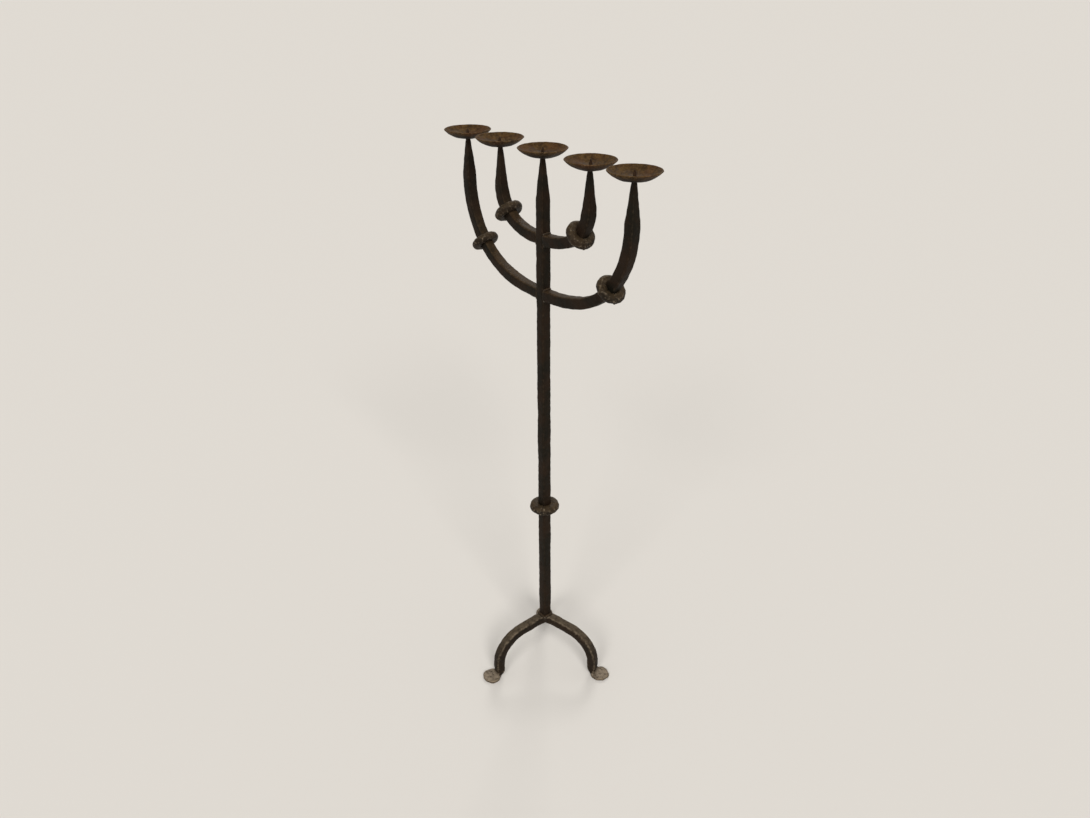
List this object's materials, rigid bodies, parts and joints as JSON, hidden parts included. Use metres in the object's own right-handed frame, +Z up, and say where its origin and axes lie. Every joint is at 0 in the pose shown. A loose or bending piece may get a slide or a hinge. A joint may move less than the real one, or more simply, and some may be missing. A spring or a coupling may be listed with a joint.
{
  "type": "floor candelabrum",
  "caption": "Tall wrought-iron floor candelabrum: square stem on a tripod of arched legs, nested curved arms with wrapped rings, dished drip pans and candle spikes.",
  "frame": {"origin": "on the floor under the stem's axis", "axes": "+Z up along the stem; +X along the arms, towards the arm nearer the viewer in the picture; +Y to the back"},
  "size_m": [0.516, 0.257, 1.1284],
  "materials": {
    "bar_iron": "forged black iron, brown-black patina, worn on the edges",
    "leg_iron": "forged black iron, dusty and worn pale on the feet",
    "pan_iron": "beaten sheet iron with brown rust and old bronze paint inside",
    "spike_iron": "forged black iron, lightly rusted",
    "collar_iron": "forged black iron, worn bright on the crown",
    "weld_iron": "weld bead under the same patina"
  },
  "bodies": {
    "root": {"stem": "bar_iron", "arm_outer_left": "bar_iron", "arm_outer_right": "bar_iron", "arm_inner_left": "bar_iron", "arm_inner_right": "bar_iron", "arm_weld_outer_left": "weld_iron", "arm_weld_outer_right": "weld_iron", "arm_weld_inner_left": "weld_iron", "arm_weld_inner_right": "weld_iron", "pan_outer_left": "pan_iron", "pan_inner_left": "pan_iron", "pan_centre": "pan_iron", "pan_inner_right": "pan_iron", "pan_outer_right": "pan_iron", "spike_outer_left": "spike_iron", "spike_inner_left": "spike_iron", "spike_centre": "spike_iron", "spike_inner_right": "spike_iron", "spike_outer_right": "spike_iron", "collar_stem": "collar_iron", "collar_outer_left": "collar_iron", "collar_outer_right": "collar_iron", "collar_inner_left": "collar_iron", "collar_inner_right": "collar_iron", "collar_weld_stem": "weld_iron", "collar_weld_outer_left": "weld_iron", "collar_weld_outer_right": "weld_iron", "collar_weld_inner_left": "weld_iron", "collar_weld_inner_right": "weld_iron", "leg_right": "leg_iron", "leg_back": "leg_iron", "leg_front": "leg_iron", "hub_weld": "weld_iron", "leg_seam_welds": "weld_iron"}
  },
  "joints": []
}
